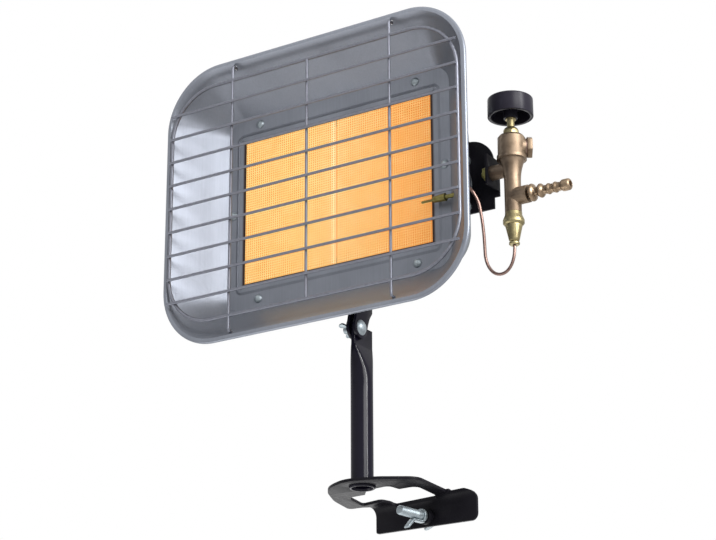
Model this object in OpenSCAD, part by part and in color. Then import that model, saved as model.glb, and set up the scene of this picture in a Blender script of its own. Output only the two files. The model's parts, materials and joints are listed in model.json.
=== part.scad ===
// Gas patio heater for the neck of a gas bottle: a radiant head on a tilting post.
// X runs to the right, Y to the back and Z up. The origin is on the post's axis,
// at the underside of the base plate, where the plate rests on the bottle's collar.

/* [Reflector] */
// Height of the reflector's centre above the base plate's underside
head_height = 250; // [246:1:300]
// Distance from the post's axis forward to the reflector's rim
rim_forward = 80; // [79:1:95]
// Distance of the rim's side edges beside the burner box
rim_beside = 50.25; // [49:0.05:64]
// Distance of the rim's level edges above and below the burner box
rim_above = 55.85; // [54.5:0.05:66]
// Corner radius of the rim
rim_corner = 55; // [50:1:60]
// Depth from the rim back to the floor
pan_depth = 40.7; // [38:0.1:42]
// How far the sloped wall runs inwards over that depth
pan_run = 35; // [33:1:38]
// Thickness of the reflector's sheet
pan_sheet = 1; // [0.8:0.1:1.2]
// Width of the flat lip round the mouth
lip_w = 4; // [3:0.5:6]
// Depth of the edge that is turned back behind the lip
lip_turn = 2.6; // [2.4:0.1:6]
// Outer radius of the bend between the lip and its turned edge
lip_bend = 1.8; // [1.2:0.1:2.2]
// Gap between the tiles and the edge of the window in the floor
window_gap = 1; // [0.6:0.1:1.5]

/* [Wire guard] */
// Diameter of the straight wires
wire_d = 2.4; // [2:0.1:3]
// Diameter of the loop that they are welded to
loop_d = 3; // [2.6:0.1:3.6]
// Distance of the loop's side wires inside the rim
loop_beside = 7.25; // [6.75:0.25:9]
// Distance of the loop's level wires inside the rim
loop_within = 20.55; // [18:0.05:23]
// Corner radius of the loop's centre line
loop_corner = 45; // [40:1:48]
// Number of level wires
level_wires = 9; // [7:2:11]
// Distance between level wires
level_pitch = 21.83; // [19:0.1:22.4]
// Sideways place of the two upright wires that end in hooks
hook_x = 80.5; // [72:0.5:88]
// Sideways place of the middle upright wire
middle_x = -2; // [-6:0.5:6]
// Distance of the hooks inside the rim
hook_within = 6.85; // [5.85:0.05:8.85]
// Length of a hook through the reflector's wall
hook_len = 8; // [6:0.5:10]
// Bend radius of a hook
hook_bend = 3; // [2.5:0.5:4]
// How far the loop stands in front of the rim
loop_ahead = 0.8; // [0.6:0.1:2]
// Depth to which crossing wires melt into each other
weld = 0.2; // [0.15:0.05:0.3]
// Clearance round a hook in its hole
hook_gap = 0.4; // [0.3:0.1:0.6]

/* [Burner] */
// Width of one ceramic tile
tile_w = 94.5; // [92:0.1:94.6]
// Height of a tile
tile_h = 132; // [129:0.5:132]
// Thickness of a tile
tile_t = 13; // [12:0.5:14]
// Gap between the two tiles
tile_gap = 1; // [0.8:0.1:1.4]
// How far the tiles stand back from the floor's face
tile_recess = 0.3; // [0.2:0.1:0.8]
// Thickness of the fibre seal round the tiles
seal_t = 2.8; // [2.4:0.1:2.8]
// Clearance round a tile and round the seal
seat_gap = 0.1; // [0.05:0.05:0.15]
// Width of the ledge behind the tiles
ledge_w = 6; // [5:0.5:8]
// Thickness of the seal between tile and ledge
ledge_t = 1; // [0.8:0.1:1.4]
// Sheet thickness of the tray that holds the tiles
tray_sheet = 1; // [0.8:0.1:1.2]
// Thickness of the gasket between tray and burner box
gasket_t = 1; // [0.8:0.1:1.6]
// Distance of the burner box's walls outside the tiles
box_margin = 7; // [6.5:0.1:8]
// Corner radius of the burner box
box_corner = 6; // [4:0.5:7]
// Radius of the box's corners behind the tray
box_rear_corner = 30; // [26:1:32]
// Distance of the box's back behind the post's axis
box_back = 12; // [11.5:0.5:16]
// Sheet thickness of the burner box
box_sheet = 1.2; // [1:0.1:1.5]
// Width of the flange round the box's mouth
flange_w = 10; // [9.5:0.1:10.4]
// Extra height of that flange above and below
flange_extra = 5; // [4.6:0.1:5.4]

/* [Reflector screws] */
// Thread diameter
screw_d = 4; // [3.5:0.1:4.2]
// Head diameter
screw_head_d = 8; // [7:0.5:8.5]
// Head height
screw_head_h = 2.4; // [2:0.1:3]
// Length under the head
screw_len = 11; // [10:0.5:14]
// Width across flats of a nut
nut_flats = 7; // [6:0.1:7.2]
// Thickness of a nut
nut_t = 3.2; // [2.4:0.1:4]
// Clearance of a screw in a sheet's hole
screw_gap = 0.15; // [0.1:0.05:0.3]
// Distance of the four corner screws inside the burner box's sides
corner_screw_in = 21.9; // [18:0.1:28]
// Distance of the four corner screws above and below the burner box
corner_screw_above = 8.65; // [8:0.05:9.4]
// Distance of the two side screws beside the burner box
side_screw_beside = 5.6; // [5.4:0.1:5.9]

/* [Mixing tube] */
// Distance of the tube's axis in front of the post's axis
tube_forward = 2; // [1.8:0.1:4]
// Height of the tube's axis below the reflector's centre
tube_drop = 1; // [0:0.5:4]
// Outer diameter at the mouth
mouth_d = 23; // [21:0.5:23.5]
// Outer diameter at the throat
throat_d = 17; // [15:0.5:18]
// Outer diameter at the far end
outlet_d = 23; // [21:0.5:24]
// Wall thickness of the tube
tube_wall = 1.2; // [1:0.1:1.5]
// How far the mouth stands out of the box
mouth_out = 4; // [3:0.5:6]
// Length from the mouth to the far end
tube_len = 146; // [130:1:160]

/* [Valve bracket] */
// Sheet thickness of the bracket
bracket_sheet = 2; // [1.6:0.1:2.2]
// Radius of its round upper corner
bracket_round = 23.3; // [22:0.1:24]
// Height at which the round corner starts, above the tube's axis
bracket_shoulder = 16; // [14:0.5:17]
// Reach of the wide part from the box
bracket_reach = 29.2; // [28:0.1:30]
// Depth of the wide part below the tube's axis
bracket_drop = 16; // [15:0.5:18]
// Reach of the narrow foot of the web
bracket_foot_reach = 24; // [22:0.5:25]
// Depth of the narrow foot below the tube's axis
bracket_foot_drop = 26; // [24.5:0.5:28]
// Depth of the foot plate from front to back
bracket_foot_depth = 30; // [29:0.5:32]
// Depth from front to back of the tab that carries the valve, bent out of the wide part
tab_depth = 20; // [19:0.5:21]
// Height of the tab above the tube's axis
tab_above = 15.5; // [12:0.5:17]
// Depth of the tab below the tube's axis
tab_below = 11.5; // [8:0.5:12]

/* [Valve] */
// Distance of the valve's axis beside the burner box
valve_beside = 48.5; // [47:0.1:51]
// Height of the valve's top above the tube's axis
valve_above = 28.9; // [28:0.1:31]
// Depth of the valve's foot below the tube's axis
valve_below = 39.3; // [38:0.1:42]
// Diameter of the upper body
upper_d = 23.2; // [22.4:0.1:24]
// Diameter of the lower body
lower_d = 14; // [13.6:0.1:14.6]
// Depth at which the lower body starts to flare
flare_below = 11.5; // [10:0.5:14]
// Diameter at the flare's top, under the shoulder ring
flare_top_d = 21.6; // [20.4:0.1:24]
// Diameter of the shoulder ring
shoulder_d = 25; // [24.4:0.1:26]
// Height of that ring's foot above the tube's axis
shoulder_above = 7.5; // [6.5:0.1:8.5]
// Width of that ring
shoulder_w = 3.4; // [2.5:0.1:4]
// Diameter of the port that meets the tab
port_d = 12.5; // [12:0.1:13]
// Diameter of the jet's thread
jet_thread_d = 8; // [7.6:0.1:8.2]
// Width across flats of the jet
jet_flats = 12; // [11:0.5:12.5]
// Thickness of the jet's hexagon
jet_hex_t = 4; // [3:0.5:4.5]
// Bore of the jet behind its orifice
jet_bore_d = 4; // [3:0.2:4.4]
// Diameter of the jet's orifice
orifice_d = 1; // [0.8:0.1:1.4]
// Depth of the hose stub below the tube's axis
stub_drop = 25.5; // [24:0.5:27]
// Diameter of the hose stub
stub_d = 15; // [14:0.1:15.4]
// Reach of the stub from the valve's axis
stub_reach = 14.9; // [14:0.1:16]
// Gas way through the valve
gasway_d = 5; // [4:0.2:5.4]

/* [Hose tail] */
// Diameter of the tail's core between the ridges
tail_core_d = 7.6; // [7:0.1:8]
// Distances of the four ridges from the end of the stub
ridge_at = [3.5, 11.4, 18.7, 25];
// Diameters of the four ridges
ridge_d = [15, 12, 9.4, 9.4];
// Distance of the bulb's centre from the stub
bulb_at = 34.3; // [32:0.1:36]
// Diameter of the bulb
bulb_d = 10; // [9.4:0.1:11]
// Length of the round land on the bulb
bulb_land = 4; // [3:0.1:4.6]
// Rounding of the bulb's ends
bulb_round = 2.3; // [1.8:0.1:2.3]
// Length of the thread in the stub
tail_thread = 7; // [6:0.5:8]

/* [Knob and spindle] */
// Diameter of the knob
knob_d = 38.5; // [37:0.5:40]
// Height of the knob
knob_h = 16.5; // [15.6:0.1:18]
// Wall thickness of the knob's skirt
knob_wall = 3; // [2.4:0.1:4]
// Depth of the hollow under the knob
knob_hollow = 11.5; // [11:0.5:12.5]
// Rounding of the knob's top edge
knob_round = 1.6; // [1:0.1:2.5]
// Diameter of the hub in that hollow
hub_d = 12; // [11:0.5:15]
// Gap between the valve's top and the knob
knob_lift = 17.6; // [16.4:0.1:18.6]
// Diameter of the spindle
spindle_d = 6.2; // [5.8:0.1:6.6]
// Diameter of the spindle's collar under the hub
spindle_collar_d = 9; // [8:0.1:9.4]
// Width across the flat of the spindle's end
spindle_flat = 4; // [3.6:0.1:4.4]
// Across flats of the gland nut
gland_flats = 12.8; // [12.4:0.1:13.4]
// Height of the gland nut's dome
gland_h = 8.8; // [8.2:0.1:9.2]
// Running clearance of turning and sliding round parts
run_gap = 0.05; // [0.03:0.01:0.08]
// How far the knob can be pressed
press_travel = 4; // [3:0.5:4.5]

/* [Side plug] */
// Across flats of the plug
plug_flats = 16.6; // [16:0.1:17.5]
// Thickness of the plug's head
plug_t = 4.5; // [3:0.5:6]
// Turn of the plug's axis from straight right towards the back
plug_turn = 33; // [0:1:60]
// Gap between the shoulder ring and the plug's boss
plug_gap = 0.65; // [0.25:0.1:0.75]
// Diameter of the boss and its washer
plug_boss_d = 15; // [14:0.1:15.2]
// Thickness of the washer
plug_washer_t = 0.9; // [0.8:0.1:1.5]
// Diameter of the plug's thread
plug_thread_d = 7; // [6.4:0.1:7.4]
// Length of that thread below the head
plug_thread_len = 7; // [5:0.5:7.5]

/* [Flame safety] */
// Diameter of the magnet unit
magnet_d = 10; // [9.4:0.1:10.2]
// Length of the magnet unit
magnet_len = 20; // [18:0.5:21.5]
// Largest diameter of the brass collar at the valve's foot
collar_d = 18; // [17:0.1:19]
// Length of that collar
collar_len = 11.2; // [11:0.1:12]
// Length of the conical nut on the lead
cone_len = 14; // [13:0.1:15]
// Diameter of the conical nut at its top
cone_top_d = 14.6; // [14:0.1:15]
// Diameter of the conical nut at its tip
cone_tip_d = 8.8; // [8:0.1:9.4]
// Diameter of the bead under the conical nut
bead_d = 9; // [8.4:0.1:10]
// Length of the bead
bead_len = 3.4; // [3:0.1:4]
// Diameter of the copper lead
lead_d = 2.4; // [2:0.1:2.4]
// Distance of the flame probe in front of the post's axis
probe_forward = 46; // [45.6:0.1:46.5]
// Depth of the flame probe below the reflector's centre
probe_drop = 32.5; // [32:0.5:33.5]
// Reach of the probe's tip over the tile
probe_over = 6.3; // [3:0.1:11]
// Diameter of the probe's tip
probe_tip_d = 2.1; // [1.8:0.1:2.6]
// Diameter of the probe's sleeve at its front end
probe_d = 5.2; // [4.8:0.1:5.6]
// Diameter of the sleeve at its rear end
sleeve_end_d = 6.8; // [6.4:0.1:7]
// Start of the sleeve, inwards from the burner box's side
sleeve_in = 1.2; // [0:0.1:3]
// End of the sleeve, outwards from the burner box's side
sleeve_out = 10; // [9:0.1:10.5]
// Diameter of the neck behind the sleeve
neck_d = 3.6; // [3:0.1:4.2]
// Diameter of the thread that the strap holds
probe_thread_d = 5; // [4.6:0.1:5.2]
// Distance of the strap that holds the probe beside the burner box
strap_beside = 22.2; // [22.1:0.1:22.5]
// Thickness of that strap
strap_t = 1.2; // [1:0.1:1.4]
// Height of that strap
strap_h = 11; // [10:0.5:11.5]
// Thickness of the nut behind the strap
probe_nut_t = 2.8; // [2.6:0.1:3]
// Across flats of that nut
probe_nut_flats = 8; // [7.6:0.1:8.4]

/* [Pivot] */
// Height of the pivot bolt above the base plate's underside
pivot_height = 135.5; // [130:0.5:138]
// Distance of the pivot bolt in front of the post's axis
pivot_forward = 7.5; // [6.5:0.1:8]
// Diameter of the pivot bolt
bolt_d = 6; // [5.6:0.1:6.2]
// Diameter of the bolt's domed head
bolt_head_d = 14; // [13:0.5:15]
// Height of that dome
bolt_head_h = 3.6; // [3:0.1:4.2]
// Side of the square neck under the head
bolt_neck = 6.2; // [6.2:0.1:6.6]
// Sheet thickness of the pivot bracket
pivot_sheet = 2.5; // [2:0.1:3]
// Radius of the cheeks round the bolt
cheek_round = 9.5; // [9:0.1:10]
// Gap between the blade and each cheek
cheek_gap = 0.1; // [0.1:0.05:0.2]
// Width of the bracket's top plate
pivot_top_w = 44; // [40:1:48]
// Distance from the post's axis forward to that plate's front edge
pivot_top_forward = 14; // [13.5:0.5:15]
// Depth of that plate from front to back
pivot_top_deep = 26; // [24:0.5:26.5]
// Sideways place of the four bracket screws
pivot_screw_x = 15; // [13:0.5:16]
// Depths of those screws behind the post's axis
pivot_screw_y = [-9, 5];
// Thickness of the washer under the wing nut
washer_t = 1.2; // [1:0.1:1.6]
// Diameter of that washer
washer_d = 13; // [12:0.5:14]
// Diameter of the wing nut's hub
wing_hub_d = 9; // [8.5:0.5:10]
// Length of the wing nut's hub
wing_hub_len = 4; // [4:0.5:5.5]
// Reach of a wing from the bolt's axis
wing_reach = 8.5; // [8.5:0.5:11]
// Reach of a wing's tip from the nut's seat
wing_out = 8; // [8:0.5:12]
// Thickness of a wing
wing_t = 1.8; // [1.5:0.1:2.2]
// Width of a wing at its tip
wing_tip_w = 3.5; // [3:0.1:4]
// Angle of the wings from level, seen from the side
wing_angle = 30; // [0:1:60]
// How far the nut backs off when it is loosened
nut_travel = 2; // [2:0.5:3]

/* [Post] */
// Diameter of the post's tube
post_d = 19; // [18:0.1:20]
// Wall thickness of the tube
post_wall = 1.5; // [1.2:0.1:2]
// Height at which the tube starts to flatten
flatten_from = 88; // [80:1:95]
// Height at which it is flat
flatten_to = 118; // [110:1:120]
// Angle from the side at which the pressed part is no wider than the tube
press_turn = 33; // [30:1:36]
// Thickness of the flat blade
blade_t = 3.9; // [3.4:0.1:4.2]
// Reach of the blade behind the post's axis
blade_back = 14.5; // [13:0.5:15]
// Radius of the blade's tongue round the bolt
tongue_r = 6.5; // [6:0.1:7]
// Height of the blade's shoulder above the bolt
shoulder_up = 2.5; // [1.5:0.1:3.5]
// Diameter of the swaged ring at the post's foot
swage_d = 22.4; // [21:0.1:23]
// How far the swaged ring stands below the plate
swage_below = 1.8; // [1.4:0.1:2.4]

/* [Base plate] */
// Turn of the base plate against the head, seen from above
base_turn = -8; // [-12:0.5:12]
// Sheet thickness of the plate and its flange
plate_t = 2.5; // [2:0.1:3]
// Distance of the flange's front face behind the post's axis
flange_v = 68; // [67:0.5:72]
// Inner radius of the bend
bend_r = 8; // [6:0.5:9]
// Left end of the flange
flange_left = -43; // [-46:0.5:-42]
// Right end of the flange
flange_right = 66; // [60:0.5:70]
// Depth of the flange at its left end
flange_left_deep = 22; // [21:0.5:24]
// Depth of the flange at its right end
flange_right_deep = 26; // [24:0.5:28]
// Left end of the notch that frees the bend beside the plate
notch_left = 43; // [42:0.5:46]
// Depth of that notch below the plate's top
notch_deep = 2; // [1.5:0.1:2.4]
// Radius of the bend's free corner
notch_round = 8; // [6:0.5:9]

/* [Clamp] */
// Sideways place of the clamp screw
clamp_u = 14.5; // [12:0.5:17]
// Depth of the clamp screw below the plate's underside
clamp_drop = 16.4; // [16:0.1:17]
// Diameter of the clamp screw
clamp_d = 8; // [7.6:0.1:8.2]
// Diameter of the threaded boss
boss_d = 13; // [12:0.5:13.5]
// Length of the boss
boss_len = 6; // [5:0.5:7]
// Place of the screw's tip behind the post's axis
clamp_tip_v = 30; // [28:0.5:32]
// Diameter of the hub
clamp_hub_d = 9.5; // [9:0.5:11]
// Length of the hub
clamp_hub_len = 7; // [6:0.5:9]
// Reach of the screw's wings from its axis
clamp_wing_reach = 17; // [14:0.5:18]
// Turn of the wings from level
clamp_wing_turn = 17; // [0:1:60]
// Thickness of the wings
clamp_wing_t = 3; // [2.5:0.1:3.5]
// Length of the thread that shows
thread_len = 22.5; // [20:0.5:26]
// Pitch of the thread
thread_pitch = 1.25; // [1:0.25:1.5]
// Thickness of the claw's strip
claw_t = 1.6; // [1.4:0.1:2]
// Width of the claw's strip
claw_w = 5; // [4:0.5:6]
// Length of the claw's strip along the screw
claw_len = 14; // [12:0.5:18]
// Forward reach of the claw's leg
claw_leg_reach = 8; // [7:0.5:9]
// Depth of the claw's leg
claw_leg_drop = 7.5; // [6:0.5:8]
// How far the clamp screw can be driven forward
clamp_travel = 6; // [5:0.5:8]

/* [Hidden] */
$fn = 48;

tiles_w = 2 * tile_w + tile_gap;
box_w = tiles_w + 2 * box_margin;
box_h = tile_h + 2 * box_margin;
side_x = box_w / 2;
box_bottom = head_height - box_h / 2;
rim_w = box_w + 2 * rim_beside;
rim_h = box_h + 2 * rim_above;

rim_y = -rim_forward;
floor_y = rim_y + pan_depth;
floor_back = floor_y + pan_sheet;
corner_x = rim_w / 2 - rim_corner;
corner_z = rim_h / 2 - rim_corner;
mouth_r = rim_corner - lip_w;
floor_r = mouth_r - pan_run;
slope_len = norm([pan_run, pan_depth]);
slope_side = pan_sheet * slope_len / pan_depth;
wall_step = pan_sheet * pan_run / pan_depth;

window_w = tiles_w + 2 * window_gap;
window_h = tile_h + 2 * window_gap;

loop_w = rim_w - 2 * loop_beside;
loop_h = rim_h - 2 * loop_within;
hook_z = rim_h / 2 - hook_within;
loop_y = rim_y - loop_ahead;
level_y = loop_y - loop_d / 2 - wire_d / 2 + weld;
upright_y = level_y + wire_d - weld;

tile_y = floor_y + tile_recess;
tile_back = tile_y + tile_t;
seal_back = tile_back + ledge_t;
seal_w = tiles_w + 2 * seal_t;
seal_h = tile_h + 2 * seal_t;
tray_flange_back = floor_back + tray_sheet;
gasket_back = tray_flange_back + gasket_t;
box_flange_back = gasket_back + box_sheet;
tray_clear = 1;
box_shelf = seal_back + tray_sheet + tray_clear + box_sheet;
flange_corner = 14;
corner_screw_x = side_x - corner_screw_in;
corner_screw_z = box_h / 2 + corner_screw_above;
side_screw_x = side_x + side_screw_beside;
screw_holes = concat(
  [for (x = [-1, 1], z = [-1, 1]) [x * corner_screw_x, z * corner_screw_z]],
  [for (x = [-1, 1]) [x * side_screw_x, 0]]);

tube_z = head_height - tube_drop;
weld_collar_d = 2 * (box_back - box_sheet + tube_forward) - 0.4;
bracket_y = box_back - bracket_sheet;
tab_x = side_x + bracket_reach - bracket_sheet;
tab_back = tab_x + bracket_sheet;
foot_screw_y = bracket_y - screw_head_d / 2 - 0.2;
foot_screw_up = 21;
foot_screw_down = 20.5;
foot_screw_z = [tube_z + foot_screw_up, tube_z - foot_screw_down];
screw_over = 6;
thread_play = 2 * run_gap;

valve_x = side_x + valve_beside;
valve_top = tube_z + valve_above;
valve_foot = tube_z - valve_below;
flare_steps = 8;
stub_z = tube_z - stub_drop;
plug_z = tube_z + shoulder_above + shoulder_w + plug_gap + plug_boss_d / 2;
plug_reach = max(upper_d / 2, shoulder_d / 2 - plug_washer_t) + seat_gap;
tail_x = valve_x + stub_reach;
tail_len = bulb_at + bulb_land / 2 + bulb_round;
bore_deep = 8;
knob_z = valve_top + knob_lift;
hub_foot = -1.5;
collar_t = 1.2;
shaft_len = 10;
chamber_floor = tube_z + 1;
spring_room = 12;
spindle_foot = chamber_floor + spring_room;
chamber_d = spindle_d + 1.4;
ring_section = 1.8;
gland_thread_d = spindle_d + 2 * ring_section + 0.2;
gland_shank = 7;
gland_seat = valve_top - gland_shank - ring_section - 0.2;
magnet_top = stub_z - gasway_d / 2 - 0.5;
collar_bottom = valve_foot - collar_len;
cone_bottom = collar_bottom - cone_len;
lead_end_z = cone_bottom - bead_len;

strap_x = side_x + strap_beside;
probe_tip_x = tiles_w / 2 - probe_over;
sleeve_x = side_x - sleeve_in;
sleeve_end_x = side_x + sleeve_out;
probe_y = -probe_forward;
probe_z = head_height - probe_drop;
probe_end = strap_x + strap_t + probe_nut_t;

pivot_y = -pivot_forward;
cheek_front = -12;
cheek_back = 10;
cheek_front_up = 24;
cheek_back_up = 17;
pivot_z = pivot_height;
cheek_in = blade_t / 2 + cheek_gap;
cheek_out = cheek_in + pivot_sheet;
bracket_top_z = box_bottom - pivot_sheet;
washer_x = cheek_out + 0.1;
wing_x = washer_x + washer_t + 0.1;

clamp_hub_v = flange_v + plate_t + clamp_travel + 0.5;
plate_outline = [[-43, 60, 0], [-48, 56.5, 3], [-61.5, 53.5, 4], [-51, 22, 60], [-30.5, -12, 45],
  [0, -23, 25], [26, -11, 30], [50.5, 10.5, 14], [40, 60, 0]];
neck_outline = [[-6, 12.2, 1.5], [-17, 23, 1.5], [-31.5, 21.8, 5], [-37, 28, 6], [-44.5, 52.3, 2.5],
  [-23, 50.8, 4], [-20.5, 66, 4], [26, 66, 3], [34.6, 28.5, 6], [17.2, 26.8, 1.2], [17.8, 12.2, 5]];
neck_cut_deep = 12;

// The copper lead's route: first measured from the probe's end, then from inside the bead
lead_leaves = [[0, 0, 0], [1.3, 0.7, 0.6], [1.4, 3, 2.3], [-0.8, 7, 5.5], [-4.6, 13, 10],
  [-8.4, 20, 14.3], [-10.6, 27, 16.9], [-11, 32.5, 16.1], [-9.6, 36, 12.1], [-7.4, 38, 5.5]];
lead_arrives = [[-27.9, -5, 28.9], [-27, -4, 18.9], [-26.6, -3, 8.9], [-26.7, -2, -1.1],
  [-26.5, -1.2, -10.1], [-24.3, -0.4, -17.9], [-19.9, 0, -23.7], [-14.1, 0, -26.3],
  [-8.1, 0, -25.1], [-3.5, 0, -20.5], [-0.9, 0, -13.9], [0, 0, -7.5], [0, 0, -3.5], [0, 0, 0]];
lead_route = concat([for (p = lead_leaves) p + [probe_end + 0.4, probe_y, probe_z]],
  [for (p = lead_arrives) p + [valve_x, -tube_forward, lead_end_z + 4]]);
lead_sides = 12;
lead_smooth = 3;

// Shapes that several pieces use

// A straight round bar along X
module bar_x(from, to, d) translate([from, 0, 0]) rotate([0, 90, 0]) cylinder(h = to - from, d = d);

// A straight round bar along Y
module bar_y(from, to, d) translate([0, from, 0]) rotate([-90, 0, 0]) cylinder(h = to - from, d = d);

// A flat shape drawn as seen from the front, from depth y0 to depth y1
module upright(y0, y1) translate([0, y1, 0]) rotate([90, 0, 0]) linear_extrude(y1 - y0) children();

// A flat shape drawn as seen from the left, from x0 to x1
module sideways(x0, x1) translate([x0, 0, 0]) rotate([90, 0, 90]) linear_extrude(x1 - x0) children();

// A rectangle with round corners, centred
module round_rect(w, h, r) {
  square([w - 2 * r, h], center = true);
  square([w, h - 2 * r], center = true);
  for (x = [-1, 1], y = [-1, 1])
    translate([x * (w / 2 - r), y * (h / 2 - r)]) circle(r = r);
}

// A section drawn as [distance from the corner's centre, depth], carried round a rectangle
module round_loop(centre_x, centre_z) {
  for (k = [0 : 3])
    translate([(k == 0 || k == 3) ? centre_x : -centre_x, 0, k > 1 ? centre_z : -centre_z])
      rotate([-90, 0, 0]) rotate([0, 0, 90 * k]) rotate_extrude(angle = 90) children();
  for (side = [0, 1]) mirror([side, 0, 0])
    translate([centre_x, 0, -centre_z]) linear_extrude(2 * centre_z) children();
  for (side = [0, 1]) mirror([0, 0, side])
    translate([centre_x, 0, centre_z]) rotate([0, -90, 0]) linear_extrude(2 * centre_x) children();
}

// A hexagonal prism along X, by its width across flats
module hex_x(from, to, flats)
  translate([from, 0, 0]) rotate([0, 90, 0]) cylinder(h = to - from, d = flats / cos(30), $fn = 6);

// Corner points of an outline given as [x, y, radius]
function unit(v) = v / norm(v);
function arc_at(a, b, c, r, steps = 6) =
  let (u = unit(a - b), w = unit(c - b), half = acos(u * w) / 2, mid = b + unit(u + w) * r / sin(half))
  let (from = b + u * r / tan(half) - mid, to = b + w * r / tan(half) - mid)
  [for (i = [0 : steps]) mid + r * unit(from * (1 - i / steps) + to * i / steps)];
function flat_point(p) = [p[0], p[1]];
function rounded(p) =
  [for (i = [0 : len(p) - 1])
    let (a = p[(i + len(p) - 1) % len(p)], b = p[i], c = p[(i + 1) % len(p)])
    each b[2] == 0 ? [flat_point(b)] : arc_at(flat_point(a), flat_point(b), flat_point(c), b[2])];

// A low dome whose flat side lies at height 0, with a straight shank standing on that side
module domed(head_d, head_h, shank_d, len) {
  dome_r = (pow(head_d / 2, 2) + pow(head_h, 2)) / (2 * head_h);
  cylinder(h = len, d = shank_d);
  intersection() {
    translate([0, 0, dome_r - head_h]) sphere(r = dome_r);
    translate([0, 0, -head_h - 1]) cylinder(h = head_h + 1, d = head_d + 2);
  }
}

// Moves what is drawn in the base plate's own frame to its place
module in_base() rotate([0, 0, base_turn]) children();
module at_head() translate([0, 0, head_height]) children();
module at_valve() translate([valve_x, -tube_forward, 0]) children();
module at_plug() translate([0, 0, plug_z]) rotate([0, 0, plug_turn]) children();
module at_clamp() in_base() translate([clamp_u, 0, -clamp_drop]) children();
module at_pivot() translate([0, pivot_y, pivot_z]) children();

// Base and clamp

module base_plate() {
  color("#2b2b2e") in_base() difference() {
    union() {
      linear_extrude(plate_t) polygon(rounded(plate_outline));
      translate([flange_left, flange_v - bend_r, -bend_r]) rotate([90, 0, 90])
        linear_extrude(flange_right - flange_left) intersection() {
          difference() {
            circle(r = bend_r + plate_t);
            circle(r = bend_r);
          }
          square(bend_r + plate_t);
        }
      upright(flange_v, flange_v + plate_t)
        polygon(rounded([[flange_left, -bend_r, 0], [flange_left, -flange_left_deep, 2],
          [flange_right, -flange_right_deep, 6], [flange_right, -bend_r, 0]]));
    }
    translate([0, 0, -neck_cut_deep]) linear_extrude(2 * neck_cut_deep) polygon(rounded(neck_outline));
    translate([0, 0, -1]) cylinder(h = plate_t + 2, d = post_d + thread_play);
    translate([clamp_u, 0, -clamp_drop])
      bar_y(flange_v - 1, flange_v + plate_t + 1, clamp_d + thread_play);
    upright(flange_v - bend_r - 1, flange_v + plate_t + 1)
      polygon(rounded([[notch_left, plate_t + 1, 0], [notch_left, plate_t - notch_deep, 0],
        [flange_right, plate_t - notch_deep, notch_round], [flange_right, -2 * bend_r, 0],
        [flange_right + 1, -2 * bend_r, 0], [flange_right + 1, plate_t + 1, 0]]));
  }
}

module clamp_boss() {
  color("#1e1e20") at_clamp() difference() {
    bar_y(flange_v - boss_len, flange_v, boss_d);
    bar_y(flange_v - boss_len - 1, flange_v + 1, clamp_d + thread_play);
  }
}

// One wing seen flat: it rises from the hub and leans away from the seat
module wing_shape(hub_r, hub_len, reach, out, start) {
  polygon(rounded([[0, start, 0], [hub_r, start, 1], [reach, out - 4, 2], [reach - 1, out, 1],
    [reach - wing_tip_w, out, 1], [hub_r - 1, hub_len, 1.5], [0, hub_len, 0]]));
}

module clamp_screw() {
  wing_lean = 1;
  color("silver") at_clamp() {
    bar_y(clamp_tip_v + thread_len, clamp_hub_v + 1, clamp_d);
    translate([0, clamp_tip_v, 0]) rotate([-90, 0, 0]) rotate_extrude()
      polygon(concat([[0, 0], [clamp_d / 2 - 1, 0]],
        [for (i = [0 : thread_len / thread_pitch - 1])
          each [[clamp_d / 2 - 0.6, (i + 0.25) * thread_pitch], [clamp_d / 2, (i + 0.75) * thread_pitch]]],
        [[clamp_d / 2, thread_len + 0.5], [0, thread_len + 0.5]]));
    translate([0, clamp_hub_v, 0]) rotate([-90, 0, 0])
      cylinder(h = clamp_hub_len, d1 = clamp_hub_d, d2 = clamp_hub_d - 2);
    translate([0, clamp_hub_v, 0]) rotate([0, -clamp_wing_turn, 0]) for (side = [0, 1]) mirror([side, 0, 0])
      translate([0, 0, -clamp_wing_t / 2]) linear_extrude(clamp_wing_t)
        wing_shape(clamp_hub_d / 2, clamp_hub_len, clamp_wing_reach, clamp_hub_len + wing_lean, 1);
  }
}

module clamp_claw() {
  ring_t = 3;
  ring_back = flange_v - boss_len - 1.5;
  strip_front = ring_back - claw_len;
  strip_z = -clamp_d / 2 - 0.5 - claw_t;
  color("silver") at_clamp() difference() {
    union() {
      bar_y(ring_back - ring_t, ring_back, clamp_d + 2 * claw_t + 0.2);
      sideways(-claw_w / 2, claw_w / 2) {
        translate([strip_front, strip_z]) square([claw_len, claw_t]);
        polygon([[strip_front, strip_z + claw_t], [strip_front + claw_t, strip_z],
          [strip_front - claw_leg_reach + claw_t, strip_z - claw_leg_drop],
          [strip_front - claw_leg_reach, strip_z - claw_leg_drop + claw_t / 2]]);
      }
    }
    bar_y(strip_front, ring_back + 1, clamp_d + thread_play);
  }
}

// Post

// Keeps the pressed part's corners within the width of the tube as seen from each quarter
module press_width() intersection_for(turn = [-press_turn, press_turn]) rotate([0, 0, turn])
  translate([-post_d / 2, -2 * post_d, -post_d]) cube([post_d, 4 * post_d, flatten_to + 2 * post_d]);

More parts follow.
